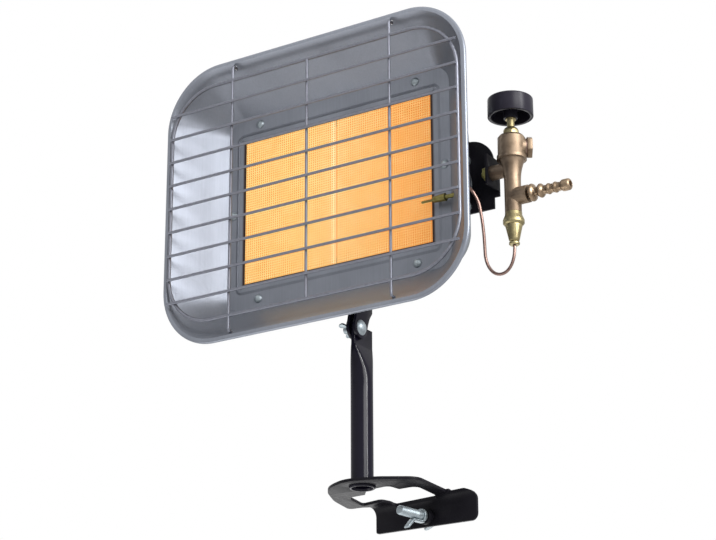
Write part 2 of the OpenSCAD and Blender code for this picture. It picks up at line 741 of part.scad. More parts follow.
module post() {
  flare_from = flatten_from - 2;
  blade_w = blade_back - pivot_y + tongue_r;
  color("#26252c") difference() {
    union() {
      translate([0, 0, -swage_below]) cylinder(h = swage_below, d1 = swage_d - 1, d2 = swage_d);
      intersection() {
        rotate_extrude() polygon([[0, -swage_below], [post_d / 2, -swage_below],
          [post_d / 2, flatten_from], [blade_back, flatten_to], [0, flatten_to]]);
        upright(-blade_w, blade_w) polygon([
          [-swage_d / 2, -swage_below - 1], [swage_d / 2, -swage_below - 1], [swage_d / 2, flare_from],
          [blade_t / 2, flatten_to + 0.01], [-blade_t / 2, flatten_to + 0.01],
          [-swage_d / 2, flare_from]]);
        press_width();
      }
      sideways(-blade_t / 2, blade_t / 2) {
        translate([pivot_y - tongue_r, flatten_to - 1])
          square([blade_w, pivot_z + shoulder_up - flatten_to + 1]);
        translate([pivot_y, pivot_z]) circle(r = tongue_r);
      }
    }
    translate([0, 0, -swage_below - 1])
      cylinder(h = flatten_from + swage_below, d = post_d - 2 * post_wall);
    translate([0, 0, -swage_below - 0.1]) cylinder(h = 1.6, d1 = swage_d - 3, d2 = post_d - 2 * post_wall);
    at_pivot() bar_x(-blade_t, blade_t, bolt_d + thread_play);
  }
}

// Pivot

module cheek_shape() {
  translate([pivot_y, pivot_z]) circle(r = cheek_round);
  polygon([[pivot_y - cheek_round, pivot_z - 1], [pivot_y - cheek_round + 3, pivot_z + 12],
    [cheek_front, pivot_z + cheek_front_up], [cheek_front, box_bottom], [cheek_back, box_bottom],
    [cheek_back, pivot_z + cheek_back_up], [pivot_y + cheek_round + 3.7, pivot_z + 11],
    [pivot_y + cheek_round + 1, pivot_z + 4], [pivot_y + cheek_round - 1, pivot_z - 4]]);
}

module pivot_bracket() {
  neck_hole = bolt_neck + 0.2;
  color("#1e1e20") difference() {
    union() {
      sideways(cheek_in, cheek_out) cheek_shape();
      sideways(-cheek_out, -cheek_in) cheek_shape();
      translate([-pivot_top_w / 2, -pivot_top_forward, bracket_top_z])
        cube([pivot_top_w, pivot_top_deep, pivot_sheet]);
    }
    at_pivot() bar_x(-cheek_out - 1, 0, bolt_d + 2 * screw_gap);
    at_pivot() translate([0, -neck_hole / 2, -neck_hole / 2]) cube([cheek_out + 1, neck_hole, neck_hole]);
    for (x = [-1, 1], y = pivot_screw_y)
      translate([x * pivot_screw_x, y, bracket_top_z - 1])
        cylinder(h = pivot_sheet + 2, d = screw_d + 2 * screw_gap);
  }
}

// A screw with a low domed head, head down, its seat at height 0
module dome_screw(len) domed(screw_head_d, screw_head_h, screw_d, len);

module pivot_screws() {
  color("silver") for (x = [-1, 1], y = pivot_screw_y)
    translate([x * pivot_screw_x, y, bracket_top_z]) dome_screw(pivot_sheet + screw_over);
}

module pivot_bolt() {
  color("silver") at_pivot() translate([cheek_out, 0, 0]) rotate([0, -90, 0]) {
    domed(bolt_head_d, bolt_head_h, bolt_d, cheek_out + wing_x + wing_hub_len + nut_travel);
    translate([-bolt_neck / 2, -bolt_neck / 2, -0.5]) cube([bolt_neck, bolt_neck, pivot_sheet + 0.5]);
  }
}

module pivot_washer() {
  color("silver") at_pivot() difference() {
    bar_x(-washer_x - washer_t, -washer_x, washer_d);
    bar_x(-washer_x - washer_t - 1, -washer_x + 1, bolt_d + 4 * screw_gap);
  }
}

module wing_nut() {
  color("silver") at_pivot() difference() {
    union() {
      translate([-wing_x, 0, 0]) rotate([0, -90, 0])
        cylinder(h = wing_hub_len, d1 = wing_hub_d, d2 = wing_hub_d - 1.5);
      translate([-wing_x, 0, 0]) rotate([-wing_angle, 0, 0]) for (side = [0, 1]) mirror([0, side, 0])
        translate([0, 0, -wing_t / 2]) rotate([0, 0, 90]) linear_extrude(wing_t)
          wing_shape(wing_hub_d / 2, wing_hub_len, wing_reach, wing_out, 0.5);
    }
    bar_x(-wing_x - wing_out - 1, -wing_x + 1, bolt_d + thread_play);
  }
}

// Reflector and guard

module pan_section() {
  polygon([[0, floor_y], [floor_r, floor_y], [mouth_r, rim_y], [rim_corner - lip_bend, rim_y],
    [rim_corner - lip_bend, rim_y + pan_sheet], [mouth_r + slope_side - wall_step, rim_y + pan_sheet],
    [floor_r + slope_side - wall_step, floor_back], [0, floor_back]]);
  difference() {
    intersection() {
      translate([rim_corner - lip_bend, rim_y + lip_bend]) circle(r = lip_bend);
      translate([rim_corner - lip_bend, rim_y]) square(lip_bend);
    }
    translate([rim_corner - lip_bend, rim_y + lip_bend]) circle(r = lip_bend - pan_sheet);
  }
  translate([rim_corner - pan_sheet, rim_y + lip_bend]) square([pan_sheet, lip_turn - lip_bend]);
}

module reflector() {
  color("#8d9196") at_head() difference() {
    union() {
      round_loop(corner_x, corner_z) pan_section();
      translate([-corner_x, floor_y, -corner_z]) cube([2 * corner_x, pan_sheet, 2 * corner_z]);
    }
    upright(floor_y - 1, floor_back + 1) round_rect(window_w, window_h, 2);
    for (p = screw_holes)
      translate([p[0], 0, p[1]]) bar_y(floor_y - 1, floor_back + 1, screw_d + 2 * screw_gap);
    for (x = [-1, 1], z = [-1, 1])
      translate([x * hook_x, 0, z * hook_z]) bar_y(rim_y, floor_y, wire_d + 2 * hook_gap);
    translate([0, probe_y, -probe_drop]) bar_x(side_x, rim_w / 2, probe_thread_d + 2 * hook_gap);
  }
}

// One hooked end of an upright wire, at the top
module hook() {
  translate([0, upright_y, 0]) cylinder(h = hook_z - hook_bend, d = wire_d);
  translate([0, upright_y + hook_bend, hook_z - hook_bend]) rotate([0, -90, 0])
    rotate_extrude(angle = -90) translate([hook_bend, 0]) circle(d = wire_d);
  translate([0, 0, hook_z]) bar_y(upright_y + hook_bend, upright_y + hook_len, wire_d);
}

module wire_guard() {
  color("#c8cbd0") at_head() {
    round_loop(loop_w / 2 - loop_corner, loop_h / 2 - loop_corner)
      translate([loop_corner, loop_y]) circle(d = loop_d);
    for (i = [0 : level_wires - 1])
      translate([0, level_y, (i - (level_wires - 1) / 2) * level_pitch])
        bar_x(-loop_w / 2 - weld, loop_w / 2 + weld, wire_d);
    translate([middle_x, upright_y, -loop_h / 2]) cylinder(h = loop_h, d = wire_d);
    for (x = [-1, 1], flip = [0, 1])
      translate([x * hook_x, 0, 0]) mirror([0, 0, flip]) hook();
  }
}

module reflector_screws() {
  color("silver") at_head() for (p = screw_holes)
    translate([p[0], floor_y, p[1]]) rotate([-90, 0, 0]) dome_screw(screw_len);
}

module reflector_nuts() {
  color("silver") at_head() for (p = screw_holes)
    translate([p[0], box_flange_back, p[1]]) rotate([-90, 0, 0]) difference() {
      cylinder(h = nut_t, d = nut_flats / cos(30), $fn = 6);
      translate([0, 0, -1]) cylinder(h = nut_t + 2, d = screw_d + thread_play);
    }
}

// Burner

module flange_cut(y0, y1) for (p = screw_holes)
  translate([p[0], 0, p[1]]) bar_y(y0, y1, screw_d + 2 * screw_gap);

module flange_shape()
  round_rect(box_w + 2 * flange_w, box_h + 2 * flange_w + 2 * flange_extra, flange_corner);

module box_inside(corner)
  round_rect(box_w - 2 * box_sheet, box_h - 2 * box_sheet, corner - box_sheet);

module burner_box() {
  color("#7d7f83") difference() {
    at_head() difference() {
      union() {
        upright(gasket_back, box_flange_back) flange_shape();
        upright(gasket_back, box_shelf) round_rect(box_w, box_h, box_corner);
        upright(gasket_back, box_back) round_rect(box_w, box_h, box_rear_corner);
      }
      upright(gasket_back - 1, box_shelf - box_sheet) box_inside(box_corner);
      upright(gasket_back - 1, box_back - box_sheet) box_inside(box_rear_corner);
      flange_cut(gasket_back - 1, box_flange_back + 1);
    }
    translate([0, -tube_forward, tube_z]) bar_x(side_x - 10, side_x + 1, mouth_d + 2 * seat_gap);
    for (z = foot_screw_z) translate([0, foot_screw_y, z])
      bar_x(side_x - 10, side_x + 1, screw_d + thread_play);
    for (x = [-1, 1], y = pivot_screw_y)
      translate([x * pivot_screw_x, y, box_bottom - 1])
        cylinder(h = box_sheet + 2, d = screw_d + thread_play);
  }
}

module box_gasket() {
  color("#d9d6cc") at_head() difference() {
    upright(tray_flange_back, gasket_back) flange_shape();
    upright(tray_flange_back - 1, gasket_back + 1) box_inside(box_corner);
    flange_cut(tray_flange_back - 1, gasket_back + 1);
  }
}

module tile_tray() {
  inner_w = seal_w + 2 * seat_gap;
  inner_h = seal_h + 2 * seat_gap;
  color("#7d7f83") at_head() difference() {
    union() {
      upright(floor_back, tray_flange_back) flange_shape();
      upright(floor_back, seal_back + tray_sheet)
        square([inner_w + 2 * tray_sheet, inner_h + 2 * tray_sheet], center = true);
    }
    upright(floor_back - 1, seal_back) square([inner_w, inner_h], center = true);
    upright(floor_back, seal_back + tray_sheet + 1)
      square([tiles_w - 2 * ledge_w, tile_h - 2 * ledge_w], center = true);
    flange_cut(floor_back - 1, tray_flange_back + 1);
  }
}

module tile_seal() {
  color("#e8e4da") at_head() difference() {
    upright(floor_back, seal_back) square([seal_w, seal_h], center = true);
    for (side = [-1, 1]) translate([side * (tile_w + tile_gap) / 2, 0, 0])
      upright(floor_back - 1, tile_back)
        square([tile_w + 2 * seat_gap, tile_h + 2 * seat_gap], center = true);
    upright(floor_back, seal_back + 1)
      square([tiles_w - 2 * ledge_w, tile_h - 2 * ledge_w], center = true);
  }
}

module tile(side) {
  color("#f5a54a") at_head() translate([side * (tile_w + tile_gap) / 2, 0, 0])
    upright(tile_y, tile_back) square([tile_w, tile_h], center = true);
}

module tile_left() tile(-1);
module tile_right() tile(1);

module mixing_tube() {
  cone_from = 12;
  cone_to = 24;
  throat_to = 34;
  color("#7d7f83") translate([side_x + mouth_out, -tube_forward, tube_z]) rotate([0, -90, 0]) {
    difference() {
      rotate_extrude() polygon([[0, 0], [mouth_d / 2, 0], [mouth_d / 2, cone_from], [throat_d / 2, cone_to],
        [throat_d / 2, throat_to], [outlet_d / 2, tube_len], [0, tube_len]]);
      rotate_extrude() polygon([[0, -1], [mouth_d / 2 - tube_wall, -1],
        [mouth_d / 2 - tube_wall, cone_from], [throat_d / 2 - tube_wall, cone_to],
        [throat_d / 2 - tube_wall, throat_to], [outlet_d / 2 - tube_wall, tube_len + 1],
        [0, tube_len + 1]]);
    }
    translate([0, 0, mouth_out + box_sheet]) difference() {
      cylinder(h = box_sheet, d = weld_collar_d);
      translate([0, 0, -1]) cylinder(h = box_sheet + 2, d = mouth_d - tube_wall);
    }
  }
}

// Valve group

module valve_bracket() {
  color("#151518") difference() {
    union() {
      translate([side_x, 0, tube_z]) upright(bracket_y, box_back) {
        intersection() {
          translate([1, bracket_shoulder]) circle(r = bracket_round);
          translate([0, bracket_shoulder]) square(bracket_round + 2);
        }
        translate([0, -bracket_drop]) square([bracket_reach, bracket_drop + bracket_shoulder]);
        translate([0, -bracket_foot_drop]) square([bracket_foot_reach, bracket_foot_drop]);
      }
      translate([side_x, box_back - bracket_foot_depth, tube_z - bracket_foot_drop])
        cube([bracket_sheet, bracket_foot_depth, bracket_foot_drop + bracket_shoulder + bracket_round]);
      translate([tab_x, bracket_y - tab_depth, tube_z - tab_below])
        cube([bracket_sheet, tab_depth + bracket_sheet, tab_below + tab_above]);
    }
    translate([0, -tube_forward, tube_z]) {
      bar_x(side_x - 1, side_x + mouth_out + 1, mouth_d + 1);
      bar_x(tab_x - 1, tab_back + 1, jet_thread_d + 2 * screw_gap);
    }
    for (z = foot_screw_z) translate([0, foot_screw_y, z])
      bar_x(side_x - 1, side_x + bracket_sheet + 1, screw_d + 2 * screw_gap);
  }
}

module bracket_screws() {
  color("silver") for (z = foot_screw_z)
    translate([side_x + bracket_sheet, foot_screw_y, z]) rotate([0, -90, 0])
      dome_screw(bracket_sheet + screw_over);
}

module injector() {
  tip_len = 3;
  thread_in_valve = 7;
  shank_len = bracket_sheet + thread_in_valve;
  color("#c9a96a") translate([0, -tube_forward, tube_z]) difference() {
    union() {
      hex_x(tab_x - jet_hex_t, tab_x, jet_flats);
      bar_x(tab_x - 0.5, tab_x + shank_len, jet_thread_d);
      translate([tab_x - jet_hex_t, 0, 0]) rotate([0, -90, 0]) cylinder(h = tip_len, d1 = 8, d2 = 5);
    }
    bar_x(tab_x - jet_hex_t - tip_len + 1.5, tab_x + shank_len + 1, jet_bore_d);
    bar_x(tab_x - jet_hex_t - tip_len - 1, tab_x, orifice_d);
  }
}

function flare(t) = lower_d / 2 + (flare_top_d - lower_d) / 2 * t * t;

module valve_body() {
  flare_low = tube_z - flare_below;
  flare_high = tube_z + shoulder_above;
  port_x = tab_back - valve_x;
  color("#a58c72") at_valve() difference() {
    union() {
      rotate_extrude() polygon(concat(
        [[0, valve_foot], [lower_d / 2, valve_foot]],
        [for (i = [0 : flare_steps]) let (t = i / flare_steps)
          [flare(t), flare_low + (flare_high - flare_low) * t]],
        [[shoulder_d / 2, flare_high], [shoulder_d / 2, flare_high + shoulder_w],
          [upper_d / 2, flare_high + shoulder_w],
          [upper_d / 2, valve_top - 2], [upper_d / 2 - 1.5, valve_top], [0, valve_top]]));
      translate([0, 0, tube_z]) bar_x(port_x, 0, port_d);
      translate([0, 0, stub_z]) bar_x(0, stub_reach, stub_d);
      at_plug() bar_x(0, plug_reach, plug_boss_d);
    }
    translate([0, 0, gland_seat])
      cylinder(h = valve_top - gland_seat + 1, d = gland_thread_d + thread_play);
    translate([0, 0, chamber_floor]) cylinder(h = valve_top - chamber_floor, d = chamber_d);
    translate([0, 0, valve_foot]) cylinder(h = chamber_floor - valve_foot + 1, d = gasway_d);
    translate([0, 0, valve_foot - 1])
      cylinder(h = stub_z + gasway_d / 2 - valve_foot + 1, d = magnet_d + 2 * seat_gap);
    translate([0, 0, tube_z]) {
      bar_x(port_x - 1, 0, gasway_d);
      bar_x(port_x - 1, port_x + bore_deep, jet_thread_d + thread_play);
    }
    translate([0, 0, stub_z]) {
      bar_x(0, stub_reach + 1, gasway_d);
      bar_x(stub_reach - bore_deep, stub_reach + 1, tail_core_d + thread_play);
    }
    at_plug() bar_x(0, plug_reach + 1, plug_thread_d + thread_play);
  }
}

module gland_nut() {
  dome_r = (pow(gland_flats / 2, 2) + pow(gland_h, 2)) / (2 * gland_h);
  color("#c9a96a") at_valve() difference() {
    union() {
      intersection() {
        translate([0, 0, valve_top + gland_h - dome_r]) sphere(r = dome_r + 0.4);
        translate([0, 0, valve_top]) cylinder(h = gland_h, d = gland_flats / cos(30), $fn = 6);
      }
      translate([0, 0, valve_top - gland_shank]) cylinder(h = gland_shank + 0.5, d = gland_thread_d);
    }
    translate([0, 0, valve_top - gland_shank - 1])
      cylinder(h = gland_shank + gland_h + 2, d = spindle_d + thread_play);
  }
}

module gland_ring() {
  ring_r = (gland_thread_d - ring_section) / 2;
  color("#222222") at_valve() translate([0, 0, gland_seat + ring_section / 2 + 0.05])
    rotate_extrude() translate([ring_r, 0]) circle(d = ring_section);
}

// The spindle's flatted end, standing at height 0
module shaft(len, play) intersection() {
  cylinder(h = len, d = spindle_d - 1 + play);
  translate([-spindle_d, -(spindle_flat + play) / 2, 0]) cube([2 * spindle_d, spindle_flat + play, len]);
}

module spindle() {
  color("#c9a96a") at_valve() {
    translate([0, 0, spindle_foot]) cylinder(h = knob_z + hub_foot - spindle_foot, d = spindle_d);
    translate([0, 0, knob_z + hub_foot - collar_t]) cylinder(h = collar_t, d = spindle_collar_d);
    translate([0, 0, knob_z + hub_foot - 1]) shaft(shaft_len, 0);
  }
}

module knob() {
  color("#23212a") at_valve() translate([0, 0, knob_z]) difference() {
    union() {
      difference() {
        rotate_extrude() {
          square([knob_d / 2, knob_h - knob_round]);
          square([knob_d / 2 - knob_round, knob_h]);
          translate([knob_d / 2 - knob_round, knob_h - knob_round]) intersection() {
            circle(r = knob_round);
            square(knob_round);
          }
        }
        translate([0, 0, -1]) cylinder(h = knob_hollow + 1, d = knob_d - 2 * knob_wall);
      }
      translate([0, 0, hub_foot]) cylinder(h = knob_hollow - hub_foot + 1, d = hub_d);
    }
    translate([0, 0, hub_foot - 1]) shaft(shaft_len + 1, 2 * seat_gap);
  }
}

module push_pin() {
  pin_foot = magnet_top + press_travel + 1;
  color("#c9a96a") at_valve() translate([0, 0, pin_foot])
    cylinder(h = spindle_foot - pin_foot - 0.1, d = gasway_d - 2);
}

module return_spring() {
  color("silver") at_valve() translate([0, 0, chamber_floor + 0.1]) difference() {
    cylinder(h = spring_room - 0.2, d = chamber_d - 1);
    translate([0, 0, -1]) cylinder(h = spring_room + 2, d = chamber_d - 3);
  }
}

module plug_washer() {
  color("#8a5a3c") at_valve() at_plug() difference() {
    bar_x(plug_reach, plug_reach + plug_washer_t, plug_boss_d);
    bar_x(plug_reach - 1, plug_reach + plug_washer_t + 1, plug_thread_d + 2 * screw_gap);
  }
}

module side_plug() {
  head_from = plug_reach + plug_washer_t;
  color("#a58c72") at_valve() at_plug() {
    hex_x(head_from, head_from + plug_t, plug_flats);
    bar_x(head_from - plug_thread_len, head_from + 1, plug_thread_d);
  }
}

// One ridge of the hose tail, as [radius, length]
function ridge(core, r) =
  [[0, 0], [core, 0], [r - 0.8, 1.3], [r - 0.2, 2.1], [r, 2.8], [r, 3.2], [r - 0.2, 3.9],
    [r - 0.8, 4.7], [core, 6], [0, 6]];

module hose_tail() {
  core = tail_core_d / 2;
  end_r = bulb_d / 2 - bulb_round;
  color("#b8935c") translate([tail_x, -tube_forward, stub_z]) rotate([0, 90, 0]) difference() {
    union() {
      translate([0, 0, -tail_thread]) cylinder(h = tail_thread + tail_len - 1, r = core);
      for (i = [0 : len(ridge_at) - 1])
        translate([0, 0, ridge_at[i] - 3]) rotate_extrude() polygon(ridge(core, ridge_d[i] / 2));
      translate([0, 0, bulb_at - bulb_land / 2]) rotate_extrude() {
        square([bulb_d / 2, bulb_land]);
        translate([0, -bulb_round]) square([end_r, bulb_land + 2 * bulb_round]);
        for (y = [0, bulb_land]) translate([end_r, y]) circle(r = bulb_round);
      }
    }
    translate([0, 0, -tail_thread - 1]) cylinder(h = tail_thread + tail_len + 2, d = gasway_d);
  }
}

module magnet_unit() {
  color("#b9bcc2") at_valve() translate([0, 0, magnet_top - magnet_len])
    cylinder(h = magnet_len, d = magnet_d);
}

module magnet_collar() {
  color("#d6c083") at_valve() difference() {
    rotate_extrude() polygon([[0, collar_bottom], [cone_top_d / 2 + 0.4, collar_bottom],
      [collar_d / 2, collar_bottom + 1.6], [collar_d / 2, collar_bottom + 4.4],
      [lower_d / 2 + 0.2, valve_foot - 2.4], [lower_d / 2 + 0.2, valve_foot], [0, valve_foot]]);
    translate([0, 0, collar_bottom - 1]) cylinder(h = collar_len + 2, d = magnet_d + 2 * seat_gap);
  }
}

module lead_nut() {
  color("#d6c083") at_valve() difference() {
    rotate_extrude() polygon([[0, lead_end_z], [bead_d / 2 - 0.8, lead_end_z],
      [bead_d / 2, lead_end_z + 0.8], [bead_d / 2, lead_end_z + 2.2], [bead_d / 2 - 1, cone_bottom],
      [cone_tip_d / 2 - 0.6, cone_bottom], [cone_tip_d / 2, cone_bottom + 1],
      [cone_top_d / 2, collar_bottom], [0, collar_bottom]]);
    translate([0, 0, lead_end_z - 1]) cylinder(h = collar_bottom - lead_end_z + 2, d = lead_d + 0.4);
  }
}

// Points between the chosen ones, on a smooth curve through them
function between(p, i, t) =
  let (a = p[max(i - 1, 0)], b = p[i], c = p[i + 1], d = p[min(i + 2, len(p) - 1)])
  0.5 * (2 * b + (c - a) * t + (2 * a - 5 * b + 4 * c - d) * t * t + (3 * b - a - 3 * c + d) * t * t * t);
function smooth_route(p, n) =
  concat([for (i = [0 : len(p) - 2], k = [0 : n - 1]) between(p, i, k / n)], [p[len(p) - 1]]);

// A round tube's rings along a route, each turned as little as possible from the one before
function ring_axis(p, i) = unit(p[min(i + 1, len(p) - 1)] - p[max(i - 1, 0)]);
function carried(p, i) =
  i == 0 ? [0, 0, 1] : let (axis = ring_axis(p, i), up = carried(p, i - 1)) unit(up - axis * (up * axis));

module swept_tube(p, d, sides) {
  rings = [for (i = [0 : len(p) - 1])
    let (axis = ring_axis(p, i), up = carried(p, i), out = cross(axis, up))
    [for (k = [0 : sides - 1]) p[i] + d / 2 * (up * cos(360 * k / sides) + out * sin(360 * k / sides))]];
  last = (len(p) - 1) * sides;
  polyhedron(points = [for (ring = rings) each ring], faces = concat(
    [[for (k = [0 : sides - 1]) k]],
    [for (i = [0 : len(p) - 2], k = [0 : sides - 1])
      each [[i * sides + k, (i + 1) * sides + k, i * sides + (k + 1) % sides],
        [i * sides + (k + 1) % sides, (i + 1) * sides + k, (i + 1) * sides + (k + 1) % sides]]],
    [[for (k = [sides - 1 : -1 : 0]) last + k]]));
}

module thermocouple_lead() {
  color("#b98d80") swept_tube(smooth_route(lead_route, lead_smooth), lead_d, lead_sides);
}

module thermocouple_probe() {
  thread_x = strap_x - 3;
  color("#c9a96a") translate([0, probe_y, probe_z]) {
    bar_x(probe_tip_x + probe_tip_d / 2, sleeve_x + 1, probe_tip_d);
    translate([probe_tip_x + probe_tip_d / 2, 0, 0]) sphere(d = probe_tip_d);
    translate([sleeve_x, 0, 0]) rotate([0, 90, 0])
      cylinder(h = sleeve_end_x - sleeve_x, d1 = probe_d, d2 = sleeve_end_d);
    bar_x(sleeve_end_x - 1, thread_x + 1, neck_d);
    bar_x(thread_x, probe_end - 0.2, probe_thread_d);
  }
}

module probe_strap() {
  root_x = side_x + 3;
  front_y = probe_y - 3.6;
  color("#7d7f83") translate([0, 0, probe_z]) difference() {
    translate([0, 0, -strap_h / 2]) {
      translate([root_x, box_flange_back, 0]) cube([strap_x + strap_t - root_x, strap_t, strap_h]);
      translate([strap_x, front_y, 0]) cube([strap_t, box_flange_back + strap_t - front_y, strap_h]);
    }
    translate([0, probe_y, 0]) bar_x(strap_x - 1, strap_x + strap_t + 1, probe_thread_d + 2 * screw_gap);
  }
}

module probe_nut() {
  color("#c9a96a") translate([0, probe_y, probe_z]) difference() {
    hex_x(strap_x + strap_t, probe_end, probe_nut_flats);
    bar_x(strap_x, probe_end + 1, probe_thread_d + thread_play);
  }
}

base_plate();
post();
clamp_boss();
clamp_screw();
clamp_claw();
pivot_bracket();
pivot_screws();
pivot_bolt();
pivot_washer();
wing_nut();
reflector();
wire_guard();
reflector_screws();
reflector_nuts();
burner_box();
box_gasket();
tile_tray();
tile_seal();
tile_left();
tile_right();
mixing_tube();
injector();
valve_bracket();
bracket_screws();
valve_body();
gland_nut();
gland_ring();
spindle();
knob();
push_pin();
return_spring();
side_plug();
plug_washer();
hose_tail();
magnet_unit();
magnet_collar();
lead_nut();
thermocouple_lead();
thermocouple_probe();
probe_strap();
probe_nut();
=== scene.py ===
import json
import math

import bmesh
import bpy
from mathutils import Matrix, Vector


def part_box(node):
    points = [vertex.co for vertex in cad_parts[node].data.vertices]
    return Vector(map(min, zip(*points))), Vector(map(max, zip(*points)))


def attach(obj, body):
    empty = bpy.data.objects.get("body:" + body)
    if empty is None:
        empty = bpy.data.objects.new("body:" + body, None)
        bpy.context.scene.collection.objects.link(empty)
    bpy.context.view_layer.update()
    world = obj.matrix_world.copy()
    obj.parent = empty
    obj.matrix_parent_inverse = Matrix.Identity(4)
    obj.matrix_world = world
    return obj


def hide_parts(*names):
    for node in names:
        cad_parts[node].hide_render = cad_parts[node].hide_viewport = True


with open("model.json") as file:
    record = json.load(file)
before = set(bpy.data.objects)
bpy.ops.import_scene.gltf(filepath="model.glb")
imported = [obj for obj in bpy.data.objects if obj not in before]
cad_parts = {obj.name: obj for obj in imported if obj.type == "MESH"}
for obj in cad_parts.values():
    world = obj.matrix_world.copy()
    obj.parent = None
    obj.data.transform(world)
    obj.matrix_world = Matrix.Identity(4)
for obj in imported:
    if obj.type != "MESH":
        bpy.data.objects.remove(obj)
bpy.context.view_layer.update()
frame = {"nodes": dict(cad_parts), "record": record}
mm = 0.001
noiseSpan = (0.3, 0.7)  # nearly all values of a noise texture lie between these


def linear(hexCode):  # an sRGB hex value as the linear colour that the nodes want
    parts = [int(hexCode[i:i + 2], 16) / 255 for i in (1, 3, 5)]
    return (*[p / 12.92 if p <= 0.04045 else ((p + 0.055) / 1.055) ** 2.4 for p in parts], 1.0)


def setInputs(tree, node, sockets):  # sockets holds, for each input, its value or the output that feeds it
    for name, value in sockets.items():
        if isinstance(value, bpy.types.NodeSocket):
            tree.links.new(value, node.inputs[name])
        else:
            node.inputs[name].default_value = value


def addNode(tree, kind, sockets=None, **settings):
    node = tree.nodes.new("ShaderNode" + kind)
    for name, value in settings.items():
        setattr(node, name, value)
    setInputs(tree, node, sockets or {})
    return node


def calculate(tree, operation, first, second=0.0):
    return addNode(tree, "Math", {0: first, 1: second}, operation=operation).outputs[0]


def mapRange(tree, value, low, high, fromLow=0.0, fromHigh=1.0):
    node = addNode(tree, "MapRange", {"Value": value, "From Min": fromLow, "From Max": fromHigh,
                                      "To Min": low, "To Max": high})
    return node.outputs["Result"]


def addRamp(tree, factor, stops):  # stops are (place, hex)
    ramp = addNode(tree, "ValToRGB", {"Fac": factor})
    points = ramp.color_ramp.elements
    while len(points) < len(stops):
        points.new(0.5)
    for point, (place, tone) in zip(points, stops):
        point.position = place
        point.color = linear(tone)
    return ramp.outputs["Color"]


def addTwoTones(tree, noise, low, high):  # from one tone to the other over what a noise spans
    return addRamp(tree, noise, [(noiseSpan[0], low), (noiseSpan[1], high)])


def mixColour(tree, factor, first, second):
    return addNode(tree, "Mix", {0: factor, 6: first, 7: second}, data_type="RGBA").outputs[2]


def startMaterial(name, stretch=(1, 1, 1)):  # a fresh material, its shader and its pattern space in mm
    material = bpy.data.materials.new(name)
    material.use_nodes = True
    tree = material.node_tree
    shader = tree.nodes["Principled BSDF"]
    place = addNode(tree, "TexCoord").outputs["Object"]
    scaled = addNode(tree, "Mapping", {"Vector": place, "Scale": [s / mm for s in stretch]})
    return material, tree, shader, scaled.outputs["Vector"]


def noiseOf(tree, place, grain, detail=3, roughness=0.5):  # grain is the size of a patch in mm
    node = addNode(tree, "TexNoise", {"Vector": place, "Scale": 1 / grain, "Detail": detail, "Roughness": roughness})
    return node.outputs["Fac"]


def bumpFrom(tree, height, depth, strength):  # depth in mm
    node = addNode(tree, "Bump", {"Height": height, "Strength": strength, "Distance": depth * mm})
    return node.outputs["Normal"]


def makeReflectorSteel():  # aluminised sheet, cold rolled then pressed: satin, with faint upright rolling streaks
    material, tree, shader, place = startMaterial("aluminisedSheet", (1, 1, 0.04))
    streaks = noiseOf(tree, place, 1.4, 4, 0.6)
    evenPlace = addNode(tree, "Mapping", {"Vector": place, "Scale": (1, 1, 25)})  # undoes the stretch of the streaks
    clouds = noiseOf(tree, evenPlace.outputs["Vector"], 30)
    tone = mixColour(tree, 0.5, addTwoTones(tree, streaks, "#777b84", "#82868f"),
                     addTwoTones(tree, clouds, "#71757e", "#848891"))
    setInputs(tree, shader, {"Base Color": tone, "Metallic": 0.5, "IOR": 1.3,
                             "Roughness": mapRange(tree, clouds, 0.34, 0.42, *noiseSpan),
                             "Normal": bumpFrom(tree, streaks, 0.006, 0.15)})
    return material


def makePlated(name, low, high, roughness):  # bright plate over drawn wire or a headed screw
    material, tree, shader, place = startMaterial(name)
    patch = 2.5
    cloud = noiseOf(tree, place, patch)
    setInputs(tree, shader, {"Base Color": addTwoTones(tree, cloud, low, high), "Metallic": 1.0,
                             "Roughness": mapRange(tree, cloud, roughness * 0.8, roughness * 1.25, *noiseSpan),
                             "Normal": bumpFrom(tree, noiseOf(tree, place, 0.5, 2), 0.02, 0.3)})
    return material


def makeGalvanised():  # hot dipped sheet: zinc spangle some 6 mm across
    material, tree, shader, place = startMaterial("galvanisedSheet")
    spangle = 6
    cells = addNode(tree, "TexVoronoi", {"Vector": place, "Scale": 1 / spangle, "Randomness": 1.0}, feature="F1")
    grey = addNode(tree, "SeparateColor", {"Color": cells.outputs["Color"]}).outputs["Red"]
    tone = addRamp(tree, grey, [(0.0, "#7e8287"), (0.5, "#8d9196"), (1.0, "#9ca0a4")])
    dulled = mixColour(tree, noiseOf(tree, place, 20, 4), tone, linear("#82868a"))
    setInputs(tree, shader, {"Base Color": dulled, "Metallic": 1.0, "Roughness": mapRange(tree, grey, 0.32, 0.48),
                             "Normal": bumpFrom(tree, cells.outputs["Distance"], 0.02, 0.2)})
    return material


def makePaint(name, colour, rubbed, roughness, peel, ior, coat):  # stoved on steel, with powder's fine orange peel
    material, tree, shader, place = startMaterial(name)
    tone = mixColour(tree, noiseOf(tree, place, 14), linear(colour), linear(rubbed))
    rough = mapRange(tree, noiseOf(tree, place, 5, 4), roughness * 0.85, roughness * 1.15)
    setInputs(tree, shader, {"Base Color": tone, "Roughness": rough, "IOR": ior,
                             "Coat Weight": coat, "Coat Roughness": 0.17,
                             "Normal": bumpFrom(tree, noiseOf(tree, place, 1.2, 2), peel, 0.3)})
    return material


def makeBrass(name, low, high, roughness, grain, rings):  # copper alloy, cast and blasted or turned
    material, tree, shader, place = startMaterial(name)
    cloud = noiseOf(tree, place, 6, 4, 0.6)
    setInputs(tree, shader, {"Base Color": addTwoTones(tree, cloud, low, high), "Metallic": 1.0,
                             "Roughness": mapRange(tree, cloud, roughness * 0.8, roughness * 1.2, *noiseSpan),
                             "Normal": bumpFrom(tree, noiseOf(tree, place, grain, 2), rings, 0.4)})
    return material


